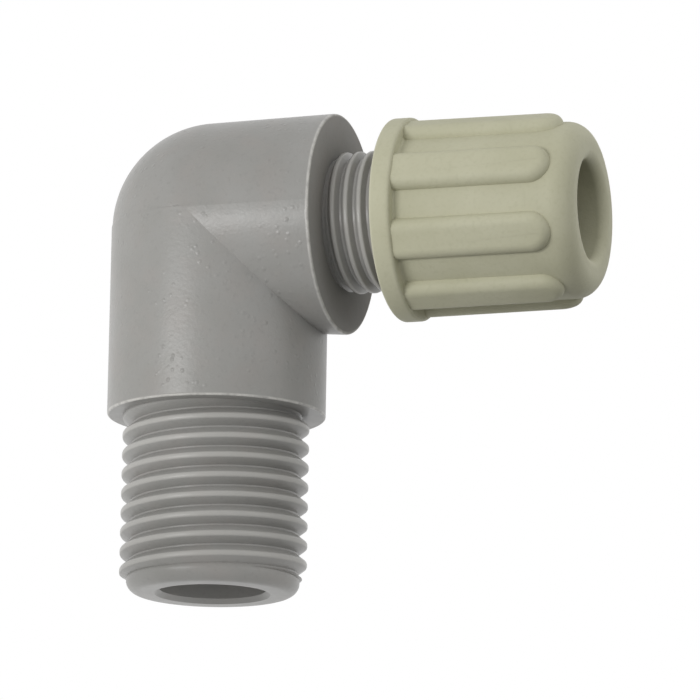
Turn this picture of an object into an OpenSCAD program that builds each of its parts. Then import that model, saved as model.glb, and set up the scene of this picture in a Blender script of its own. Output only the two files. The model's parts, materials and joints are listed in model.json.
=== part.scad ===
// Elbow push-in tube fitting: pipe-thread elbow, ribbed nut, grab ring, spacer and O-ring.
// Origin at the centre of the pipe thread's end face, +Z up the pipe thread, +X along the tube.
// The nut is shown backed off, so that a tube slides in; tightening it moves it towards -X.

/* [Elbow] */
// Outside diameter of both legs at the corner
leg_d = 15.7; // [15:0.1:18]
// Growth of the tube leg's radius from the corner to its face, for mould draft
leg_draft = 0.13; // [0:0.01:0.3]
// Reach of the tube leg's face from the pipe axis
face_x = 9.3; // [8.6:0.1:14]
// Drop from the tube axis to the shoulder above the pipe thread
shoulder_drop = 13.7; // [9:0.1:20]
// Rounding of the legs' open edges
edge_r = 0.2; // [0.1:0.05:0.6]
// Width of the water passage between the two legs
passage_d = 4.6; // [3:0.1:5.4]

/* [Pipe thread] */
// Length of the pipe thread from the shoulder to the end face
thread_len = 12.9; // [10:0.1:18]
// Pitch of the pipe thread
pipe_pitch = 1.411; // [1.3:0.001:1.6]
// Crest diameter of the pipe thread
pipe_d = 13.4; // [12.8:0.1:14]
// Depth of the pipe thread from crest to root
pipe_depth = 0.62; // [0.4:0.01:0.65]
// Height of the lowest crest above the end face
first_crest = 1.83; // [1.7:0.01:2.4]
// Plain neck left under the shoulder
neck_len = 0.5; // [0.3:0.05:2]
// Diameter of the plain collar at the thread's end
collar_d = 12.4; // [11.4:0.1:12.5]
// Rounding of the collar's outer edge
collar_r = 0.9; // [0.3:0.1:1.1]
// Bore of the pipe leg
pipe_bore_d = 7.6; // [5.6:0.1:8.4]
// Chamfer at the mouth of the pipe leg's bore
bore_chamfer = 0.35; // [0.1:0.05:0.4]

/* [Tube end] */
// Outside diameter of the tube that the fitting takes
tube_d = 6.35; // [5.8:0.05:6.4]
// Radial clearance of the tube in its socket
tube_clear = 0.075; // [0.03:0.005:0.09]
// Length of the threaded stub beyond the tube leg's face
stub_len = 8.9; // [7.5:0.1:12]
// Depth of the tube's socket from the end of the stub
socket_depth = 12.5; // [9:0.1:13]
// Pitch of the nut's thread
nut_pitch = 1; // [0.9:0.05:1.2]
// Crest diameter of the nut's thread on the stub
stub_d = 10.2; // [10.1:0.05:10.4]
// Depth of the nut's thread from crest to root
stub_depth = 0.42; // [0.3:0.01:0.44]
// Distance of the first crest from the tube leg's face
stub_neck = 0.8; // [0.6:0.05:1.2]
// Width of the conical seat for the O-ring at the end of the stub
seat_w = 1.2; // [1:0.05:1.25]

/* [Nut] */
// Turns that the nut is backed off from tight
turns_open = 2.8; // [1.5:0.1:3.5]
// Gap between the elbow and the nut when it is tight
tight_gap = 1.47; // [0.5:0.01:2.2]
// Diameter of the nut's flange
flange_d = 14.6; // [14.3:0.02:16.5]
// Thickness of the nut's flange
flange_t = 1.5; // [1:0.1:2.5]
// Number of grip ribs
rib_count = 8; // [6:1:9]
// Diameter over the grip ribs
rib_d = 14; // [13.2:0.1:14.2]
// Width of a grip rib
rib_w = 2.9; // [2:0.1:3.2]
// Turn of the first rib about the tube axis
rib_turn = 26; // [0:1:44]
// Setback of the ribs' round ends from the nut's open end
rib_setback = 1.5; // [0.8:0.1:2.5]
// Diameter of the nut between its ribs
nut_d = 12.6; // [12.4:0.1:13]
// Rounding of the nut's open end
crown_r = 1.6; // [0.8:0.1:1.8]
// Bore of the nut's open end
nut_bore_d = 7; // [6.8:0.05:7.4]
// Rounding of the bore's mouth
mouth_r = 0.25; // [0.2:0.05:0.8]
// Length of the nut beyond the grab ring's seat
lip_len = 3.3; // [2.9:0.1:6]
// Radial clearance between the nut and the stub's crests
thread_clear = 0.1; // [0.05:0.01:0.15]

/* [Loose rings] */
// Section diameter of the O-ring
o_ring_w = 1.24; // [1.1:0.02:1.26]
// Radial clearance of the loose rings around the tube's socket
ring_bore_clear = 0.06; // [0.04:0.01:0.1]
// Length of the spacer ring
spacer_len = 1.5; // [1:0.1:2.5]
// Radial clearance of the spacer and grab ring in the nut
ring_clear = 0.2; // [0.1:0.01:0.25]
// Length of the grab ring along the tube
grab_len = 1; // [0.8:0.05:1.4]
// Thickness of the grab ring's sheet
grab_t = 0.35; // [0.25:0.05:0.45]
// Width of the grab ring's outer rim
grab_rim_w = 0.5; // [0.4:0.05:0.6]
// Number of teeth on the grab ring
tooth_count = 10; // [6:1:12]
// Width of the slots between the teeth
slot_w = 0.5; // [0.3:0.05:0.7]
// Gap between stacked rings
stack_gap = 0.05; // [0.03:0.01:0.1]

/* [Hidden] */
$fn = 96;
cut = 1;
leg_r = leg_d / 2;
axis_h = thread_len + shoulder_drop;
// pipe thread
pipe_root_r = pipe_d / 2 - pipe_depth;
pipe_room = thread_len - neck_len - pipe_depth - first_crest;
pipe_turns = floor(pipe_room / pipe_pitch);
// stub and socket
stub_end = face_x + stub_len;
stub_root_r = stub_d / 2 - stub_depth;
stub_room = stub_len - stub_neck - stub_depth;
stub_turns = floor(stub_room / nut_pitch);
socket_r = tube_d / 2 + tube_clear;
// rings, placed from the stub outwards
ring_bore_r = socket_r + ring_bore_clear;
o_ring_r = ring_bore_r + o_ring_w / 2;
seat_mouth_r = socket_r + seat_w;
o_ring_x = stub_end + o_ring_r - seat_mouth_r + (o_ring_w / 2 + stack_gap) * sqrt(2);
open_by = turns_open * nut_pitch;
spacer_x = o_ring_x + o_ring_w / 2 + stack_gap + open_by;
grab_x = spacer_x + spacer_len + stack_gap;
// nut
nut_x = face_x + tight_gap + open_by;
nut_seat_x = grab_x + grab_len + stack_gap;
nut_end = nut_seat_x + lip_len;
step_x = stub_end + open_by;
nut_thread_r = stub_d / 2 + thread_clear;
nut_room_r = stub_root_r + thread_clear;
ring_r = nut_room_r - ring_clear;
nut_bore_r = nut_bore_d / 2;
rib_start = nut_x + flange_t / 2;
rib_end = nut_end - rib_setback;
rib_root = (nut_thread_r + nut_d / 2) / 2;
rib_top = sqrt(pow(rib_d / 2, 2) - pow(rib_w / 2, 2));

// Turns what is drawn along +Z so that it lies along the tube axis.
module along_tube() {
    translate([0, 0, axis_h]) rotate([0, 90, 0]) children();
}

// Half outline of a disc from height 0 to h, with its upper outer edge rounded.
module rounded_outline(r, h, round_r) {
    square([r - round_r, h]);
    square([r, h - round_r]);
    translate([r - round_r, h - round_r]) circle(round_r);
}

// A row of round crests around a core, one pitch apart, as a thread looks from outside.
module crests(core_r, depth, pitch, first, turns) {
    for (i = [0 : turns]) {
        translate([0, 0, first + i * pitch]) rotate_extrude() translate([core_r, 0]) circle(depth, $fn = 48);
    }
}

// The two legs with their ball-shaped corner, as one outside.
module legs() {
    translate([0, 0, axis_h]) sphere(leg_r);
    translate([0, 0, axis_h]) mirror([0, 0, 1]) rotate_extrude() rounded_outline(leg_r, shoulder_drop, edge_r);
    along_tube() {
        cylinder(r1 = leg_r, r2 = leg_r + leg_draft, h = face_x - edge_r);
        rotate_extrude() rounded_outline(leg_r + leg_draft, face_x, edge_r, $fn = 48);
    }
}

module pipe_end() {
    translate([0, 0, collar_r]) cylinder(r = pipe_root_r, h = thread_len - collar_r + cut);
    translate([0, 0, first_crest]) mirror([0, 0, 1]) rotate_extrude() {
        rounded_outline(collar_d / 2, first_crest, collar_r);
    }
    crests(pipe_root_r, pipe_depth, pipe_pitch, first_crest, pipe_turns);
}

module stub() {
    along_tube() {
        cylinder(r = stub_root_r, h = stub_end);
        crests(stub_root_r, stub_depth, nut_pitch, face_x + stub_neck, stub_turns);
    }
}

// All that the water and the tube need, cut out of the elbow.
module waterway() {
    translate([0, 0, -cut]) cylinder(r = pipe_bore_d / 2, h = axis_h + cut);
    translate([0, 0, axis_h]) sphere(pipe_bore_d / 2);
    translate([0, 0, -cut]) {
        cylinder(r1 = pipe_bore_d / 2 + bore_chamfer + cut, r2 = pipe_bore_d / 2, h = bore_chamfer + cut);
    }
    along_tube() {
        cylinder(r = passage_d / 2, h = stub_end);
        translate([0, 0, stub_end - socket_depth]) cylinder(r = socket_r, h = socket_depth + cut);
        translate([0, 0, stub_end - seat_w]) cylinder(r1 = socket_r, r2 = seat_mouth_r + cut, h = seat_w + cut);
    }
}

module elbow_body() {
    color("#8f908d") difference() {
        union() {
            legs();
            pipe_end();
            stub();
        }
        waterway();
    }
}

// Half outline of the nut's outside without its ribs, from its flange to its round open end.
module nut_outline() {
    translate([0, nut_x]) square([flange_d / 2, flange_t]);
    translate([0, nut_x]) rounded_outline(nut_d / 2, nut_end - nut_x, crown_r);
}

// Footprint of one rib, as seen from straight outside: straight sides and a round end.
module rib_footprint() {
    translate([rib_start, -rib_w / 2]) square([rib_end - rib_w / 2 - rib_start, rib_w]);
    translate([rib_end - rib_w / 2, 0]) circle(rib_w / 2);
}

// Grip ribs, each a bar with a flat back set into the nut's wall.
module ribs() {
    for (i = [0 : rib_count - 1]) {
        translate([0, 0, axis_h]) rotate([rib_turn + i * 360 / rib_count, 0, 0]) {
            translate([0, 0, rib_root]) linear_extrude(rib_top - rib_root) rib_footprint();
        }
    }
}

// Half outline of what is hollow in the nut: thread room, ring room, seat, bore and round mouth.
module nut_hollow() {
    translate([0, nut_x - cut]) square([nut_thread_r, step_x - nut_x + cut]);
    translate([0, step_x]) square([nut_room_r, nut_seat_x - step_x]);
    translate([0, nut_seat_x - cut]) square([nut_bore_r, nut_end - nut_seat_x + 2 * cut]);
    difference() {
        translate([0, nut_end - mouth_r]) square([nut_bore_r + mouth_r, mouth_r + cut]);
        translate([nut_bore_r + mouth_r, nut_end - mouth_r]) circle(mouth_r);
    }
}

module compression_nut() {
    color("#b2b299") difference() {
        union() {
            along_tube() rotate_extrude() nut_outline();
            ribs();
        }
        along_tube() rotate_extrude() nut_hollow();
    }
}

// Half section of the grab ring: a flat rim and a thin cone of teeth that lean into the fitting.
module grab_section() {
    rim_in = ring_r - grab_rim_w;
    polygon([
        [ring_r, grab_len],
        [ring_r, grab_len - grab_t],
        [rim_in, grab_len - grab_t],
        [ring_bore_r, 0],
        [ring_bore_r, grab_t],
        [rim_in, grab_len],
    ]);
}

module grab_ring() {
    color("#b8bcc0") along_tube() translate([0, 0, grab_x]) difference() {
        rotate_extrude() grab_section();
        for (i = [0 : tooth_count - 1]) {
            rotate([0, 0, i * 360 / tooth_count]) translate([0, -slot_w / 2, -cut]) {
                cube([ring_r - grab_rim_w, slot_w, grab_len + 2 * cut]);
            }
        }
    }
}

module spacer_ring() {
    color("#e9e8e2") along_tube() translate([0, 0, spacer_x]) difference() {
        cylinder(r = ring_r, h = spacer_len);
        translate([0, 0, -cut]) cylinder(r = ring_bore_r, h = spacer_len + 2 * cut);
    }
}

module o_ring() {
    color("#26262a") along_tube() translate([0, 0, o_ring_x]) rotate_extrude() {
        translate([o_ring_r, 0]) circle(o_ring_w / 2);
    }
}

elbow_body();
compression_nut();
grab_ring();
spacer_ring();
o_ring();
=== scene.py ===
# %% [markdown]
# # Dressing a small plastic elbow fitting
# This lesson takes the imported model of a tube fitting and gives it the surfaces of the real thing. The
# fitting has a grey moulded elbow with a pipe thread, and an olive hand nut that is backed off so that a
# tube can be pushed in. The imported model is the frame: it says where every piece is, and nothing here moves
# or resizes it.
# %% Load the frame
import json
from contextlib import contextmanager
from math import cos, pi, radians, sin

import bmesh
import bpy
from mathutils import Matrix, Vector


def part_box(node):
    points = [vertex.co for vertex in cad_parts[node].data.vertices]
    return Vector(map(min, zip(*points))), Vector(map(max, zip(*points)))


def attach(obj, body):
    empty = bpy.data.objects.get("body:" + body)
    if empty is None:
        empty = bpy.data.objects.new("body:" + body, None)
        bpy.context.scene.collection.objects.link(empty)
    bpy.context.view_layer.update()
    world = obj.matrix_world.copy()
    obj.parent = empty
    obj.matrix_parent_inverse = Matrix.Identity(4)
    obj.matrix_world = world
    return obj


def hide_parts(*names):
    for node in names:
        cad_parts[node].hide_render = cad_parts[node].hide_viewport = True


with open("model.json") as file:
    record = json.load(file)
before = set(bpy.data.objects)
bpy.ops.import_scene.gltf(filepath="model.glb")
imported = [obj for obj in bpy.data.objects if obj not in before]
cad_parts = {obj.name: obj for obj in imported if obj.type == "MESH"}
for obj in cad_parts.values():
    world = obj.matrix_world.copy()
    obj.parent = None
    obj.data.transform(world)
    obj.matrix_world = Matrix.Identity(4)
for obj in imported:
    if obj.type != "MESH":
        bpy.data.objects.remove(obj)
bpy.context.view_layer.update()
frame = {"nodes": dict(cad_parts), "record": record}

# %% [markdown]
# ## Sizes
# The frame gives the places that other pieces depend on: the height of the tube axis, the outside of the
# legs, the ends of the stub and the nut. They are in metres. What belongs to one piece, such as a thread's
# pitch or a rounding, is named where that piece is made. Round shapes have 160 sides. A shape that only
# trims a round one has 147, so that its corners never fall on the other's: exact booleans dislike edges
# that touch.
# %% Name the shared sizes
MM = 0.001
ALONG = {"X": Vector((1, 0, 0)), "Z": Vector((0, 0, 1))}
FINE = 160
ODD = 147

mounts = {mount["name"]: mount for mount in frame["record"]["mounts"]}
axis_height = mounts["tube_socket"]["pos_m"][2]
corner = Vector((0, 0, axis_height))
elbow_low, elbow_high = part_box("elbow_body")
nut_low, nut_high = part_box("compression_nut")
nut_start, nut_end = nut_low.x, nut_high.x
print("tube axis at", round(axis_height / MM, 2), "mm")
print("nut from", round(nut_start / MM, 2), "to", round(nut_end / MM, 2), "mm")

# %% [markdown]
# ## Working in edit mode
# Blender's operators act on whatever is selected, and the loaded model is still selected. So each step
# starts with nothing selected, opens one piece, and picks its vertices or edges by where they are.
# %% Helpers that open a piece and select in it
def only(piece):
    """Make one piece the active and only selected object."""
    bpy.ops.object.select_all(action="DESELECT")
    bpy.context.view_layer.objects.active = piece
    piece.select_set(True)


@contextmanager
def editing(piece):
    """Open a piece in edit mode for the length of a with block."""
    only(piece)
    bpy.ops.object.mode_set(mode="EDIT")
    yield
    bpy.ops.object.mode_set(mode="OBJECT")


def pick(kind, test):
    """In edit mode, select the vertices or edges that pass a test, and nothing else."""
    mesh = bpy.context.edit_object.data
    shape = bmesh.from_edit_mesh(mesh)
    bpy.ops.mesh.select_mode(type=kind)
    bpy.ops.mesh.select_all(action="DESELECT")
    for item in {"VERT": shape.verts, "EDGE": shape.edges}[kind]:
        item.select_set(bool(test(item)))
    shape.select_flush_mode()
    bmesh.update_edit_mesh(mesh)


# %% Helpers that test, clean, combine and measure
def near(value, target, slack=0.002 * MM):
    return abs(value - target) < slack


def ends(edge, test):
    """True if both ends of an edge pass a test on their place."""
    return all(test(vertex.co) for vertex in edge.verts)


def close_up():
    """Merge doubles and turn every face outwards."""
    bpy.ops.mesh.select_all(action="SELECT")
    bpy.ops.mesh.remove_doubles(threshold=0.001 * MM)
    bpy.ops.mesh.normals_make_consistent(inside=False)


def combine(piece, tool, operation):
    """Join, cut or trim a piece with another closed shape, which is used up."""
    change = piece.modifiers.new(operation.title(), "BOOLEAN")
    change.operation = operation
    change.object = tool
    change.solver = "EXACT"
    only(piece)
    bpy.ops.object.modifier_apply(modifier=change.name)
    bpy.data.objects.remove(tool)


def describe(piece):
    """Print a piece's faces, its box and volume in millimetres, and how many edges are open."""
    corners = [vertex.co / MM for vertex in piece.data.vertices]
    low = [round(min(place[i] for place in corners), 2) for i in range(3)]
    high = [round(max(place[i] for place in corners), 2) for i in range(3)]
    shape = bmesh.new()
    shape.from_mesh(piece.data)
    volume = round(shape.calc_volume() / MM**3, 1)
    open_edges = sum(not edge.is_manifold for edge in shape.edges)
    print(piece.name, len(shape.faces), "faces, low", low, "high", high)
    print("    holds", volume, "mm3 and has", open_edges, "open edges")
    shape.free()


# %% [markdown]
# ## Turned shapes
# Bores, cores, collars and the nut's body are all round. Each is made the way a lathe hand thinks: start
# from a disc, then for every point of the half outline extrude the end face along the axis and resize it.
# That keeps the shape closed, which the joins and cuts need.
# %% Turned solids from a half outline
def on_axis(axis, distance):
    """A point on the pipe axis at a height, or on the tube axis at a distance from the corner."""
    return ALONG[axis] * distance + (corner if axis == "X" else Vector())


def turned(name, axis, outline, steps=FINE):
    """A closed turned solid from (radius, distance along the axis) points."""
    radius, distance = outline[0]
    bpy.ops.object.select_all(action="DESELECT")
    bpy.ops.mesh.primitive_circle_add(
        vertices=steps, radius=radius, fill_type="NGON", location=on_axis(axis, distance),
        rotation=(0, pi / 2 if axis == "X" else 0, 0))
    piece = bpy.context.object
    piece.name = name
    bpy.ops.object.transform_apply(location=True, rotation=True, scale=True)
    with editing(piece):
        bpy.ops.mesh.select_all(action="SELECT")
        for next_radius, next_distance in outline[1:]:
            step = ALONG[axis] * (next_distance - distance)
            bpy.ops.mesh.extrude_region_move(TRANSFORM_OT_translate={"value": step})
            grow = next_radius / radius
            scale = (1, grow, grow) if axis == "X" else (grow, grow, 1)
            bpy.ops.transform.resize(value=scale, center_override=on_axis(axis, next_distance))
            radius, distance = next_radius, next_distance
        close_up()
    return piece


def arc(centre_radius, centre_distance, size, start, stop, steps=8):
    """Outline points on an arc; 0 degrees points away from the axis and 90 along it."""
    turns = [radians(start + (stop - start) * i / steps) for i in range(steps + 1)]
    return [(centre_radius + size * cos(turn), centre_distance + size * sin(turn)) for turn in turns]


# %% [markdown]
# ## The elbow's two legs
# The legs are two tubes of one radius that meet at a right angle. Inside the bend they meet in a mitre, a
# straight crease seen from the side. Outside the bend a quarter of a ball joins them. Each tube is cut to
# its half of the bend with bisect, and the ball is spun from the half circle that is left open.
# %% Make and cut an open tube
leg_radius = -elbow_low.x
leg_face = 9.3 * MM
shoulder = 12.9 * MM


def open_tube(name, axis, start, stop):
    bpy.ops.object.select_all(action="DESELECT")
    bpy.ops.mesh.primitive_cylinder_add(
        vertices=FINE, radius=leg_radius, depth=stop - start, end_fill_type="NOTHING",
        location=on_axis(axis, (start + stop) / 2), rotation=(0, pi / 2 if axis == "X" else 0, 0))
    piece = bpy.context.object
    piece.name = name
    bpy.ops.object.transform_apply(location=True, rotation=True, scale=True)
    return piece


def trim(normal, drop_front):
    """Cut the open piece with a plane through the corner and drop one side of it."""
    bpy.ops.mesh.select_all(action="SELECT")
    bpy.ops.mesh.bisect(
        plane_co=corner, plane_no=normal, clear_outer=drop_front, clear_inner=not drop_front)


# %% Join the legs and spin the ball
leg_draft = 0.13 * MM
mould_step = 0.05 * MM
edge_round = 0.15 * MM
past_corner = 1.2 * leg_radius


def make_legs():
    pipe_leg = open_tube("pipe_leg", "Z", shoulder, axis_height + past_corner)
    with editing(pipe_leg):
        trim((1, 0, 1), drop_front=True)
        trim((0, 0, 1), drop_front=True)
    tube_leg = open_tube("tube_leg", "X", -past_corner, leg_face)
    with editing(tube_leg):
        trim((1, 0, 1), drop_front=False)
        trim((1, 0, 0), drop_front=False)
    only(pipe_leg)
    tube_leg.select_set(True)
    bpy.ops.object.join()
    legs = pipe_leg
    legs.name = "elbow_shell"
    with editing(legs):
        bpy.ops.mesh.select_all(action="SELECT")
        bpy.ops.mesh.remove_doubles(threshold=0.001 * MM)
        pick("EDGE", lambda e: ends(e, lambda p: near(p.z, axis_height) and p.x < 0.001 * MM))
        bpy.ops.mesh.spin(steps=FINE // 4, angle=-pi / 2, center=corner, axis=(0, 1, 0))
        close_up()
        pick("VERT", lambda v: v.co.z > axis_height + 0.1 * MM)
        bpy.ops.transform.shrink_fatten(value=-mould_step)
        pick("VERT", lambda v: near(v.co.x, leg_face))
        grow = 1 + leg_draft / leg_radius
        bpy.ops.transform.resize(value=(1, grow, grow), center_override=on_axis("X", leg_face))
        for here in (lambda p: near(p.x, leg_face), lambda p: near(p.z, shoulder)):
            pick("EDGE", lambda e: e.is_boundary and ends(e, here))
            bpy.ops.mesh.edge_face_add()
            bpy.ops.mesh.bevel(offset=edge_round, segments=5, affect="EDGES")
        close_up()
    describe(legs)
    return legs


elbow = make_legs()

# %% [markdown]
# ## Threads
# A thread is one ridge wound round a core. Its section is a small plane, narrowed at the crest and bevelled
# there. A Screw modifier winds it, one pitch to a turn, and the two open ends are filled. Trimming the
# ridge with a turned envelope gives it the faded start that a chamfered end has. Both threads here are
# right-handed, so a positive angle goes with a positive offset.
# %% Wind a ridge round an axis
steps_per_turn = 120
sunk = 0.06 * MM


def ridge(name, axis, foot, crest, foot_width, crest_width, crest_round, first, pitch, turns):
    """A wound ridge whose middle starts at the distance first, on the +X or +Z side of its axis."""
    spot = corner if axis == "X" else Vector()
    bpy.ops.object.select_all(action="DESELECT")
    bpy.ops.mesh.primitive_plane_add(size=1, location=spot, rotation=(pi / 2, 0, 0))
    piece = bpy.context.object
    piece.name = name
    bpy.ops.object.transform_apply(location=False, rotation=True, scale=True)
    out = Vector((0, 0, 1)) if axis == "X" else Vector((1, 0, 0))
    with editing(piece):
        bpy.ops.mesh.select_all(action="SELECT")
        size = ALONG[axis] * foot_width + out * abs(crest - foot)
        bpy.ops.transform.resize(value=(size.x, 1, size.z), center_override=spot)
        bpy.ops.transform.translate(value=out * (foot + crest) / 2 + ALONG[axis] * first)
        pick("VERT", lambda v: near(v.co @ out, crest))
        narrow = crest_width / foot_width
        squeeze = (narrow, 1, 1) if axis == "X" else (1, 1, narrow)
        middle = spot + out * crest + ALONG[axis] * first
        bpy.ops.transform.resize(value=squeeze, center_override=middle)
        bpy.ops.mesh.bevel(offset=crest_round, segments=4, affect="VERTICES")
    wind = piece.modifiers.new("Wind", "SCREW")
    wind.axis = axis
    wind.angle = 2 * pi * turns
    wind.screw_offset = pitch * turns
    wind.steps = wind.render_steps = round(steps_per_turn * turns)
    only(piece)
    bpy.ops.object.modifier_apply(modifier=wind.name)
    bpy.ops.object.transform_apply(location=True)
    with editing(piece):
        pick("EDGE", lambda e: e.is_boundary)
        bpy.ops.mesh.fill_holes(sides=0)
        close_up()
    return piece


# %% [markdown]
# ## The pipe thread
# The lower end screws into a port. Eight crests show between the plain collar at the end and the shoulder.
# The core and the collar are one turned solid. The ridge is trimmed by an envelope that is wide over the
# thread and narrows to the collar, so the first turn rises out of the collar little by little. The lowest
# whole crest lies 1.48 mm up, at a turn of 198.4 degrees from +X, and the ridge starts about a turn and a
# half below it.
# %% Turn the pipe core
overlap = 1 * MM
pipe_pitch = 1.411 * MM
pipe_crest = 6.7 * MM
pipe_root = 6.08 * MM
collar_radius = 6.2 * MM
collar_round = 0.9 * MM
collar_top, core_start = 1 * MM, 1.3 * MM

pipe_core = turned("pipe_core", "Z", [
    *arc(collar_radius - collar_round, collar_round, collar_round, -90, 0),
    (collar_radius, collar_top), (pipe_root, core_start), (pipe_root, shoulder + overlap)])
describe(pipe_core)

# %% Wind the pipe thread
crest_height, crest_turn = 1.48 * MM, 198.4
fade_start, fade_end = 1.12 * MM, 1.4 * MM
past_pipe_crest = 1.02 * pipe_crest

pipe_ridge = ridge(
    "pipe_ridge", "Z", pipe_root - sunk, pipe_crest,
    foot_width=1.39 * MM, crest_width=0.34 * MM, crest_round=0.1 * MM,
    first=crest_height - pipe_pitch * (1 + crest_turn / 360), pitch=pipe_pitch, turns=10.5)
pipe_envelope = turned("pipe_envelope", "Z", [
    (collar_radius - collar_round, 0.1 * MM), (collar_radius - 0.05 * MM, fade_start),
    (past_pipe_crest, fade_end), (past_pipe_crest, axis_height)], steps=ODD)
combine(pipe_ridge, pipe_envelope, "INTERSECT")
describe(pipe_ridge)

# %% [markdown]
# ## The stub and the bores
# The stub carries the nut on a low thread with rounded crests, 1 mm apart. Inside, the elbow has a pipe
# bore from below that ends in a ball, a narrow passage to the right, and a socket for the tube with a
# slanted seat for the rubber ring at its mouth.
# %% Turn the stub and wind its thread
nut_pitch = 1 * MM
stub_end = elbow_high.x
stub_crest = 5.1 * MM
stub_root = 4.68 * MM
end_chamfer = 0.12 * MM
under_root = stub_root - 0.15 * MM
past_stub_crest = 1.02 * stub_crest
stub_first = 9.88 * MM - 2 * nut_pitch

stub_core = turned("stub_core", "X", [
    (stub_root, leg_face - overlap), (stub_root, stub_end - end_chamfer),
    (stub_root - end_chamfer, stub_end)])
stub_ridge = ridge(
    "stub_ridge", "X", stub_root - sunk, stub_crest,
    foot_width=0.94 * MM, crest_width=0.26 * MM, crest_round=0.08 * MM,
    first=stub_first, pitch=nut_pitch, turns=11)
stub_envelope = turned("stub_envelope", "X", [
    (under_root, leg_face + 0.1 * MM), (past_stub_crest, leg_face + 0.55 * MM),
    (past_stub_crest, stub_end - 0.6 * MM), (under_root, stub_end - 0.16 * MM)], steps=ODD)
combine(stub_ridge, stub_envelope, "INTERSECT")
describe(stub_core)
describe(stub_ridge)

# %% Turn the tools that cut the bores
pipe_bore = mounts["pipe_bore"]["dims"]["r_mm"] * MM
pipe_chamfer = 0.35 * MM
socket_radius = mounts["tube_socket"]["dims"]["r_mm"] * MM
socket_step = 5.7 * MM
passage_radius = 2.3 * MM
seat_width = 1.2 * MM

pipe_tool = turned("pipe_tool", "Z", [
    (pipe_bore + pipe_chamfer + overlap, -overlap), (pipe_bore, pipe_chamfer), (pipe_bore, axis_height),
    *arc(0, axis_height, pipe_bore, 10, 80, steps=7), (0.02 * pipe_bore, axis_height + pipe_bore)])
tube_tool = turned("tube_tool", "X", [
    (passage_radius, 0), (passage_radius, socket_step), (socket_radius, socket_step),
    (socket_radius, stub_end - seat_width), (socket_radius + seat_width + overlap, stub_end + overlap)])
describe(pipe_tool)
describe(tube_tool)

# %% [markdown]
# ## One elbow from its parts
# The parts overlap, so they can be joined with exact booleans into one closed skin, and the bores are cut
# last. What should look round is then shaded smooth, and every edge sharper than 30 degrees stays crisp.
# %% Join and bore the elbow
for part in (pipe_core, stub_core, pipe_ridge, stub_ridge):
    combine(elbow, part, "UNION")
for tool in (pipe_tool, tube_tool):
    combine(elbow, tool, "DIFFERENCE")
describe(elbow)


# %% Shade a piece and hang it on its body
def finish_shape(piece, body, node):
    """Shade a new piece, let it stand for its plain node and hang it on its body."""
    with editing(piece):
        bpy.ops.mesh.select_all(action="SELECT")
        bpy.ops.mesh.remove_doubles(threshold=0.0005 * MM)
        bpy.ops.mesh.normals_make_consistent(inside=False)
    only(piece)
    bpy.ops.object.shade_smooth_by_angle(angle=radians(30))
    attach(piece, body)
    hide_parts(node)


# %% Keep the mould line and the mitre crisp
def mould_line(p):
    """True where the two mould halves met, level with the tube axis."""
    return near(p.z, axis_height, 0.01 * MM) and p.x < leg_face and max(abs(p.x), abs(p.y)) > 0.7 * leg_radius


def mitre(p):
    return near(p.x + p.z, axis_height, 0.01 * MM) and p.x > -0.01 * MM and abs(p.y) <= leg_radius


with editing(elbow):
    pick("EDGE", lambda e: ends(e, mould_line) or ends(e, mitre))
    bpy.ops.mesh.mark_sharp()
finish_shape(elbow, "elbow", "elbow_body")

# %% [markdown]
# ## The hand nut
# The nut is a turned cap with a flange at its open end and a rounded crown. Eight long ribs for the fingers
# stand on it. One rib is shaped from a block: its top is sloped a little for mould draft while every face
# is still flat, the corners at its free end are bevelled to a half circle, and its upper edges are
# softened. It is copied round the axis, and each copy has its own mesh.
# %% Turn the nut's outside
flange_radius = (nut_high.y - nut_low.y) / 2
flange_width = 1.5 * MM
flange_end = nut_start + flange_width
flange_round = 0.25 * MM
foot_fillet = 0.2 * MM
valley_radius = 6.3 * MM
crown_round = 1.6 * MM

nut = turned("nut", "X", [
    *arc(flange_radius - flange_round, nut_start + flange_round, flange_round, -90, 0, steps=4),
    *arc(flange_radius - flange_round, flange_end - flange_round, flange_round, 0, 90, steps=4),
    *arc(valley_radius + foot_fillet, flange_end + foot_fillet, foot_fillet, -90, -180, steps=4),
    *arc(valley_radius - crown_round, nut_end - crown_round, crown_round, 0, 90, steps=12)])
describe(nut)


# %% Shape one rib
rib_top = 7.04 * MM
rib_taper = 0.08 * MM
rib_width = 2.9 * MM
rib_round = 0.75 * MM
rib_setback = 1.5 * MM


def first_rib():
    start, stop, foot = flange_end - 0.6 * MM, nut_end - rib_setback, 5.4 * MM
    bpy.ops.object.select_all(action="DESELECT")
    bpy.ops.mesh.primitive_cube_add(
        size=1, location=corner + Vector(((start + stop) / 2, 0, (foot + rib_top) / 2)),
        scale=(stop - start, rib_width, rib_top - foot))
    piece = bpy.context.object
    piece.name = "rib"
    bpy.ops.object.transform_apply(location=True, rotation=True, scale=True)

    def at_start(p):
        return near(p.x, start)

    def at_stop(p):
        return near(p.x, stop)

    def on_top(p):
        return p.z > axis_height + rib_top - 1.5 * rib_taper

    with editing(piece):
        pick("VERT", lambda v: at_stop(v.co) and on_top(v.co))
        bpy.ops.transform.translate(value=(0, 0, -rib_taper))
        pick("EDGE", lambda e: ends(e, at_stop) and abs(e.verts[0].co.z - e.verts[1].co.z) > MM)
        bpy.ops.mesh.bevel(offset=0.495 * rib_width, segments=14, affect="EDGES")
        pick("EDGE", lambda e: ends(e, on_top) and not ends(e, at_start))
        bpy.ops.mesh.bevel(offset=rib_round, segments=8, affect="EDGES")
        close_up()
    return piece


rib = first_rib()
describe(rib)

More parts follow.
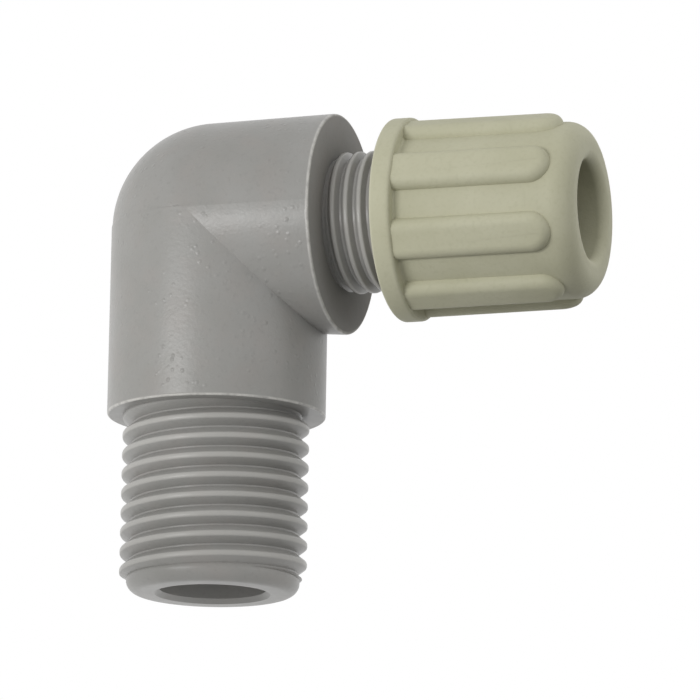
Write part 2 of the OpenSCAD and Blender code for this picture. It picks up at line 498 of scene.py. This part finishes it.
# %% Copy the rib round the nut
rib_count = 8
rib_turn = radians(26)
for number in range(rib_count):
    copy = rib.copy()
    copy.data = rib.data.copy()
    bpy.context.collection.objects.link(copy)
    turn = Matrix.Translation(corner) @ Matrix.Rotation(rib_turn + 2 * pi * number / rib_count, 4, "X")
    copy.data.transform(turn @ Matrix.Translation(-corner))
    combine(nut, copy, "UNION")
bpy.data.objects.remove(rib)
describe(nut)

# %% [markdown]
# ## Hollowing the nut
# The inside has a thread room, a smaller room for the grab ring and the spacer, a shoulder that pushes
# them, and a bore for the tube with a rounded mouth. The nut's own thread is a narrow ridge on the wall of
# the thread room. It lies half a pitch from the stub's ridge, so the two pass each other with play.
# %% Cut the rooms
mouth_radius = 3.5 * MM
mouth_round = 0.75 * MM
thread_room = 5.2 * MM
entry_chamfer = 0.3 * MM
ring_room = 4.78 * MM
room_step = 21 * MM
ring_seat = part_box("grab_ring")[1].x + 0.05 * MM
before = 0.5 * MM

nut_tool = turned("nut_tool", "X", [
    (thread_room + entry_chamfer + before, nut_start - before), (thread_room, nut_start + entry_chamfer),
    (thread_room, room_step), (ring_room, room_step), (ring_room, ring_seat), (mouth_radius, ring_seat),
    *arc(mouth_radius + mouth_round, nut_end - mouth_round, mouth_round, 180, 90, steps=8),
    (mouth_radius + mouth_round, nut_end + overlap)])
combine(nut, nut_tool, "DIFFERENCE")
describe(nut)

# %% Add the inside thread
nut_crest = 4.86 * MM
nut_sunk = 0.1 * MM
nut_ridge = ridge(
    "nut_ridge", "X", thread_room + nut_sunk, nut_crest,
    foot_width=0.44 * MM, crest_width=0.18 * MM, crest_round=0.04 * MM,
    first=stub_first + 6.5 * nut_pitch, pitch=nut_pitch, turns=6)
combine(nut, nut_ridge, "UNION")
finish_shape(nut, "nut", "compression_nut")
describe(nut)

# %% [markdown]
# ## Finishes
# Each finish is a small node tree. A socket is wrapped in a class, so that sums and products of sockets can
# be written as plain Python and become Math nodes. Every other node comes from one method, which sets the
# node's own settings before its inputs.
# %% Sockets with arithmetic
class Wire:
    """A socket in a node tree."""

    def __init__(self, tree, socket=None):
        self.tree, self.socket = tree, socket

    def node(self, kind, settings=None, inputs=None, output=0):
        """Add a node and return one of its outputs."""
        made = self.tree.nodes.new(kind)
        for key, value in (settings or {}).items():
            setattr(made, key, value)
        for key, value in (inputs or {}).items():
            if isinstance(value, Wire):
                self.tree.links.new(value.socket, made.inputs[key])
            else:
                made.inputs[key].default_value = value
        return Wire(self.tree, made.outputs[output] if made.outputs else None)

    def maths(self, operation, first, second=0.5, clamp=False):
        settings = {"operation": operation, "use_clamp": clamp}
        return self.node("ShaderNodeMath", settings, {0: first, 1: second})

    def __add__(self, other):
        return self.maths("ADD", self, other)

    def __sub__(self, other):
        return self.maths("SUBTRACT", self, other)

    def __rsub__(self, other):
        return self.maths("SUBTRACT", other, self)

    def __mul__(self, other):
        return self.maths("MULTIPLY", self, other)

    __radd__ = __add__

    def over(self, low, high):
        """0 below one value, 1 above another, and an even rise between."""
        return self.node(
            "ShaderNodeMapRange", {"clamp": True},
            {"Value": self, "From Min": low, "From Max": high, "To Min": 0.0, "To Max": 1.0})

    def mix(self, one, other):
        """One colour where this socket is 0 and another where it is 1."""
        return self.node(
            "ShaderNodeMix", {"data_type": "RGBA"}, {0: self, 6: one, 7: other}, output=2)

    def place(self):
        """The x, y and z of a point on the piece."""
        place = self.node("ShaderNodeTexCoord", output="Object")
        split = self.node("ShaderNodeSeparateXYZ", {}, {"Vector": place})
        return [Wire(self.tree, part) for part in split.socket.node.outputs]

    def reach(self, one, other):
        """How far a point is from an axis, from its two distances across that axis."""
        return self.maths("SQRT", one * one + other * other)

    def noise(self, grain, detail=2.0, stretch=(1, 1, 1)):
        """Soft noise whose lumps are about one grain across, in metres."""
        place = self.node("ShaderNodeTexCoord", output="Object")
        place = self.node("ShaderNodeMapping", {}, {"Vector": place, "Scale": stretch})
        return self.node("ShaderNodeTexNoise", {}, {"Vector": place, "Scale": 1 / grain, "Detail": detail})

    def blisters(self, spacing, size):
        """Small round bumps: 1 at the middle of a bump and 0 outside it."""
        place = self.node("ShaderNodeTexCoord", output="Object")
        distance = self.node("ShaderNodeTexVoronoi", {}, {"Vector": place, "Scale": 1 / spacing})
        return 1 - distance.over(0.0, size / spacing)

    def bump(self, height, depth, under=None):
        """A normal from a height between 0 and 1 and its depth in metres."""
        inputs = {"Strength": 1.0, "Distance": depth, "Height": height}
        if under:
            inputs["Normal"] = under
        return self.node("ShaderNodeBump", {}, inputs)


# %% From a node tree to a finished piece
def finish(name, build, **fixed):
    """A material: build gives the sockets that vary, and fixed holds the constant ones."""
    material = bpy.data.materials.new(name)
    material.use_nodes = True
    material.node_tree.nodes.clear()
    wire = Wire(material.node_tree)
    inputs = {key.replace("_", " "): value for key, value in fixed.items()}
    inputs.update(build(wire))
    surface = wire.node("ShaderNodeBsdfPrincipled", {}, inputs)
    wire.node("ShaderNodeOutputMaterial", {}, {"Surface": surface})
    return material


def dress(piece, material):
    piece.data.materials.clear()
    piece.data.materials.append(material)
    print(piece.name, "wears", material.name)


# %% [markdown]
# ## Grey moulded plastic
# The elbow is a grey moulded plastic with a satin skin. It is a little mottled, with soft clouds, warmer
# patches and fine dark specks. The skin isn't flat: it has a faint wave from shrinking in the mould, a
# fine grain, and patches of small blisters. The rims of both legs and the crests of both threads are
# painted paler, as painted highlights on the edges that stick out. The flat face behind the nut is duller,
# and its colour is darkened to a browner grey as painted shade from the nut. Each of those places is found
# from its distance to an axis, so the painted highlights and shade stay where they belong.
# %% Grey plastic
deep_grey = (0.271, 0.267, 0.252, 1)
light_grey = (0.297, 0.293, 0.280, 1)
warm_grey = (0.300, 0.281, 0.264, 1)
speck_grey = (0.230, 0.226, 0.215, 1)
# A darker, browner grey for the face behind the nut: painted shade from the nut.
painted_shade_brown = (0.200, 0.188, 0.176, 1)
# Paler grey for the rims and the thread crests: a painted highlight.
painted_highlight_grey = (0.52, 0.51, 0.48, 1)


def grey_plastic(wire):
    x, y, z = wire.place()
    pipe_reach = wire.reach(x, y)
    tube_reach = wire.reach(y, z - axis_height)
    rough_edge = wire.noise(0.7 * MM, 3).over(0.3, 0.6)
    face_rim = x.over(leg_face - 0.22 * MM, leg_face - 0.1 * MM) * tube_reach.over(
        leg_radius - 0.14 * MM, leg_radius - 0.02 * MM)
    foot_rim = (1 - z.over(shoulder + 0.1 * MM, shoulder + 0.2 * MM)) * pipe_reach.over(
        leg_radius - 0.2 * MM, leg_radius - 0.1 * MM)
    pipe_crests = (1 - z.over(shoulder - 0.4 * MM, shoulder - 0.3 * MM)) * pipe_reach.over(
        pipe_crest - 0.07 * MM, pipe_crest - 0.01 * MM)
    stub_crests = x.over(leg_face + 0.1 * MM, leg_face + 0.2 * MM) * tube_reach.over(
        stub_crest - 0.1 * MM, stub_crest - 0.01 * MM)
    # The rims of the legs and the thread crests are painted paler: painted highlights on the edges that stick
    # out.
    rims = wire.maths("MAXIMUM", face_rim, foot_rim) * (0.35 + rough_edge * 0.65)
    painted_crest_highlights = wire.maths("MAXIMUM", pipe_crests, stub_crests) * 0.45
    cloud = wire.noise(5 * MM, 3)
    tint = wire.noise(2.2 * MM, 2)
    speck = wire.noise(0.35 * MM, 2)
    base = cloud.over(0.35, 0.65).mix(deep_grey, light_grey)
    base = (tint.over(0.45, 0.75) * 0.5).mix(base, warm_grey)
    base = (speck.over(0.55, 0.8) * 0.4).mix(base, speck_grey)
    # The flat face behind the nut is made rougher, and its colour is darkened as painted shade from the nut.
    facing = x.over(leg_face - 0.04 * MM, leg_face - 0.01 * MM) * (
        1 - x.over(leg_face + 0.02 * MM, leg_face + 0.08 * MM))
    shaded_dull_face = facing * tube_reach.over(stub_root, stub_root + 0.05 * MM)
    base = (shaded_dull_face * 0.35).mix(base, painted_shade_brown)
    # Paint the rims and crests paler as painted highlights.
    base = wire.maths("MAXIMUM", rims, painted_crest_highlights).mix(base, painted_highlight_grey)
    wave = wire.bump(wire.noise(1.4 * MM, 1), 0.014 * MM)
    grain = wire.bump(wire.noise(0.22 * MM, 2), 0.014 * MM, wave)
    skin = z.over(shoulder + 0.3 * MM, shoulder + 0.6 * MM) * (
        1 - x.over(leg_face - 0.6 * MM, leg_face - 0.3 * MM))
    patches = wire.noise(3.5 * MM, 1).over(0.46, 0.56) * skin
    blisters = wire.bump(wire.blisters(0.6 * MM, 0.18 * MM) * patches, 0.04 * MM, grain)
    return {
        "Base Color": base,
        "Roughness": 0.27 + wire.noise(0.9 * MM, 2) * 0.1 + shaded_dull_face * 0.5,
        "Normal": wire.bump(rims * rough_edge, 0.03 * MM, blisters)}


dress(elbow, finish("grey_plastic", grey_plastic, Specular_IOR_Level=0.3))

# %% [markdown]
# ## Olive plastic
# The nut is a pale olive plastic with a matt, finely grained skin, so its ribs show broad soft
# highlights. The rim of its flange is rubbed a little paler.
# %% Olive plastic
deep_olive = (0.455, 0.446, 0.318, 1)
pale_olive = (0.487, 0.478, 0.350, 1)
speck_olive = (0.405, 0.396, 0.275, 1)
rubbed_olive = (0.66, 0.65, 0.52, 1)


def olive_plastic(wire):
    x, y, z = wire.place()
    rim = (1 - x.over(nut_start + 0.08 * MM, nut_start + 0.2 * MM)) * wire.reach(y, z - axis_height).over(
        flange_radius - 0.3 * MM, flange_radius - 0.15 * MM)
    cloud = wire.noise(4 * MM, 3)
    speck = wire.noise(0.3 * MM, 2)
    base = cloud.over(0.35, 0.65).mix(deep_olive, pale_olive)
    base = (speck.over(0.5, 0.8) * 0.45).mix(base, speck_olive)
    base = (rim * 0.5).mix(base, rubbed_olive)
    wave = wire.bump(wire.noise(1.2 * MM, 1), 0.010 * MM)
    return {
        "Base Color": base,
        "Roughness": 0.52 + wire.noise(0.8 * MM, 2) * 0.12,
        "Normal": wire.bump(wire.noise(0.16 * MM, 3), 0.012 * MM, wave)}


dress(nut, finish("olive_plastic", olive_plastic, Specular_IOR_Level=0.25))

# %% [markdown]
# ## The hidden rings
# The grab ring is spring steel, the spacer white acetal and the seal black rubber. Their shapes are right
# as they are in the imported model, so they keep their meshes and only get a finish.
# %% Steel, white plastic and rubber
dark_steel, bright_steel = (0.52, 0.52, 0.51, 1), (0.64, 0.64, 0.63, 1)
shaded_white, clean_white = (0.74, 0.73, 0.69, 1), (0.80, 0.79, 0.76, 1)
clean_black, dusty_black = (0.012, 0.012, 0.013, 1), (0.035, 0.034, 0.033, 1)


def spring_steel(wire):
    scratch = wire.noise(0.25 * MM, 3, stretch=(8, 1, 1))
    return {
        "Base Color": scratch.over(0.3, 0.7).mix(dark_steel, bright_steel),
        "Roughness": 0.24 + scratch * 0.16,
        "Normal": wire.bump(scratch, 0.003 * MM)}


def white_plastic(wire):
    cloud = wire.noise(1.5 * MM, 2)
    return {
        "Base Color": cloud.over(0.35, 0.65).mix(shaded_white, clean_white),
        "Roughness": 0.38 + cloud * 0.1,
        "Normal": wire.bump(wire.noise(0.15 * MM, 2), 0.004 * MM)}


def black_rubber(wire):
    dust = wire.noise(0.4 * MM, 3)
    return {
        "Base Color": dust.over(0.5, 0.8).mix(clean_black, dusty_black),
        "Roughness": 0.5 + dust * 0.2,
        "Normal": wire.bump(wire.noise(0.1 * MM, 2), 0.005 * MM)}


dress(frame["nodes"]["grab_ring"], finish("spring_steel", spring_steel, Metallic=1.0))
dress(frame["nodes"]["spacer_ring"], finish("white_plastic", white_plastic))
dress(frame["nodes"]["o_ring"], finish("black_rubber", black_rubber))

# %% [markdown]
# ## Camera
# The fitting is seen from a little below and to the right of its front, from far off with a long lens. The
# camera is placed from the corner of the elbow: a turn, a tilt, a slight roll, and a slide that brings the
# whole fitting into view.
# %% Place the camera
view_turn, view_tilt, view_roll = radians(18.4), radians(-12.16), radians(1)
view_distance = 450 * MM
slide_right, slide_up = 9.355 * MM, -8.579 * MM

back = Vector((sin(view_turn) * cos(view_tilt), -cos(view_turn) * cos(view_tilt), sin(view_tilt)))
level = Vector((cos(view_turn), sin(view_turn), 0))
right = Matrix.Rotation(view_roll, 3, back) @ level
up = back.cross(right)
eye = bpy.data.cameras.new("camera")
eye.lens, eye.sensor_width = 320.5, 36
camera = bpy.data.objects.new("camera", eye)
bpy.context.scene.collection.objects.link(camera)
camera.location = corner + back * view_distance + right * slide_right + up * slide_up
camera.rotation_euler = Matrix((right, up, back)).transposed().to_euler()
bpy.context.scene.camera = camera
print("camera at", [round(v / MM, 1) for v in camera.location], "mm")

# %% [markdown]
# ## Light
# A low, wide softbox to the left makes the long highlights. Two big, faint ones, one further left and one
# on the right, open the shadows. The world is white where it is seen or mirrored. Where it only lights, it
# is dimmer, and brighter on the right than on the left.
# %% Hang the softboxes
def softbox(name, turn, tilt, distance, width, height, level):
    """An area lamp aimed at the elbow. Its turn and tilt are read from the camera's line of sight."""
    turn, tilt = view_turn + radians(turn), view_tilt + radians(tilt)
    direction = Vector((sin(turn) * cos(tilt), -cos(turn) * cos(tilt), sin(tilt)))
    lamp = bpy.data.lights.new(name, "AREA")
    lamp.shape, lamp.size, lamp.size_y = "RECTANGLE", width, height
    lamp.energy = level * (pi * distance) ** 2
    holder = bpy.data.objects.new(name, lamp)
    bpy.context.scene.collection.objects.link(holder)
    holder.location = corner + direction * distance
    holder.rotation_euler = direction.to_track_quat("Z", "Y").to_euler()


softbox("key", turn=-42, tilt=10, distance=0.6, width=0.3, height=0.12, level=0.45)
softbox("left", turn=-85, tilt=15, distance=0.7, width=0.5, height=0.5, level=0.04)
softbox("right", turn=60, tilt=20, distance=0.8, width=0.5, height=0.5, level=0.12)


def seen_or_lighting(wire, seen, lighting):
    """Two strengths: one for rays that see or mirror, and one for rays that only light."""
    path = wire.node("ShaderNodeLightPath")
    rays = [Wire(wire.tree, path.socket.node.outputs[name]) for name in (
        "Is Camera Ray", "Is Glossy Ray", "Is Transmission Ray")]
    looks = wire.maths("ADD", rays[0] + rays[1], rays[2], clamp=True)
    return looks * seen + (1 - looks) * lighting


def graded(where, left, right):
    """A strength that goes from one value to another as a socket goes from 0 to 1."""
    return left + where * (right - left)


world = bpy.data.worlds.new("studio")
world.use_nodes = True
world.cycles.sampling_method = "NONE"
world.node_tree.nodes.clear()
wire = Wire(world.node_tree)
way_out = wire.node("ShaderNodeTexCoord", output="Generated")
across = wire.node("ShaderNodeSeparateXYZ", {}, {"Vector": way_out}, output="X")
sky_light = seen_or_lighting(wire, 1.0, graded(across.over(-1, 1), left=0.48, right=0.80))
glow = wire.node("ShaderNodeBackground", {}, {"Color": (1, 1, 1, 1), "Strength": sky_light})
wire.node("ShaderNodeOutputWorld", {}, {"Surface": glow})
bpy.context.scene.world = world

# %% [markdown]
# ## Floor
# The floor is a round pale sheet just under the pipe end, and it takes the shadow. It fades out at its rim,
# so that no edge shows against the white. The camera looks up from below it, so it has no underside: from
# there it is clear. Mirrored, its upper side is white. To rays that only light, it is a soft glow that is
# strong on the left and fades to the right.
# %% Lay the floor
bpy.ops.object.select_all(action="DESELECT")
floor_radius = 200 * MM
bpy.ops.mesh.primitive_circle_add(
    vertices=64, radius=floor_radius, fill_type="NGON", location=(0, 0, -0.3 * MM))
floor = bpy.context.object
floor.name = "floor"
pale = bpy.data.materials.new("pale_floor")
pale.use_nodes = True
pale.node_tree.nodes.clear()
wire = Wire(pale.node_tree)
sheet = wire.node("ShaderNodeBsdfDiffuse", {}, {"Color": (0.86, 0.86, 0.85, 1)})
x = wire.place()[0]
floor_light = seen_or_lighting(wire, 1.0, graded(x.over(-30 * MM, 40 * MM), left=1.1, right=0.04))
glow = wire.node("ShaderNodeEmission", {}, {"Color": (1, 1, 1, 1), "Strength": floor_light})
seen = wire.node("ShaderNodeLightPath", output="Is Camera Ray")
top_side = wire.node("ShaderNodeMixShader", {}, {0: seen, 1: glow, 2: sheet})
place = wire.node("ShaderNodeTexCoord", output="Object")
from_middle = wire.node("ShaderNodeVectorMath", {"operation": "LENGTH"}, {0: place}, output="Value")
underside = wire.node("ShaderNodeNewGeometry", output="Backfacing")
gone = wire.maths("MAXIMUM", underside, from_middle.over(0.5 * floor_radius, 0.95 * floor_radius))
clear = wire.node("ShaderNodeBsdfTransparent")
both = wire.node("ShaderNodeMixShader", {}, {0: gone, 1: top_side, 2: clear})
wire.node("ShaderNodeOutputMaterial", {}, {"Surface": both})
floor.data.materials.append(pale)

bpy.context.scene.view_settings.view_transform = "Standard"
